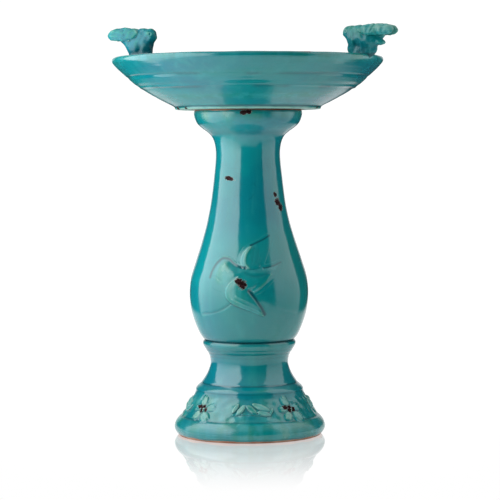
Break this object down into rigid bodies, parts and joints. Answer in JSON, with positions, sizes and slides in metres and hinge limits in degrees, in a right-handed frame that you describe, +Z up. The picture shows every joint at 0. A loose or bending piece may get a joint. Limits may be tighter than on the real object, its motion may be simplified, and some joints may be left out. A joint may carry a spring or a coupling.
{
  "type": "bird bath",
  "caption": "Glazed ceramic bird bath: a shallow basin with perched birds, loose on a hollow baluster pedestal with a dove and flowers in relief.",
  "frame": {"origin": "middle of the pedestal's foot, on the ground", "axes": "+Z up; -Y to the front, where the dove is; +X to the right seen from the front"},
  "size_m": [0.4332, 0.4048, 0.6161],
  "materials": {
    "teal_glaze": "gloss",
    "bare_clay": "matte"
  },
  "bodies": {
    "pedestal": {"pedestal_base": "teal_glaze", "pedestal_column": "teal_glaze", "dove_relief": "teal_glaze", "flower_front_left": "teal_glaze", "flower_front_right": "teal_glaze", "flower_back_right": "teal_glaze", "flower_back_left": "teal_glaze", "leaf_spray_front": "teal_glaze", "leaf_spray_right": "teal_glaze", "leaf_spray_back": "teal_glaze", "leaf_spray_left": "teal_glaze"},
    "ring": {"locating_ring": "bare_clay"},
    "basin": {"basin": "teal_glaze", "front_bird": "teal_glaze", "back_bird": "teal_glaze"}
  },
  "joints": [
    {"name": "basin_lift", "type": "slide", "parent": "pedestal", "child": "ring", "axis": [0, 0, 1], "range_m": [0, 0.12]},
    {"name": "basin_turn", "type": "hinge", "parent": "ring", "child": "basin", "pos_m": [0, 0, 0.487], "axis": [0, 0, 1], "continuous": true}
  ]
}
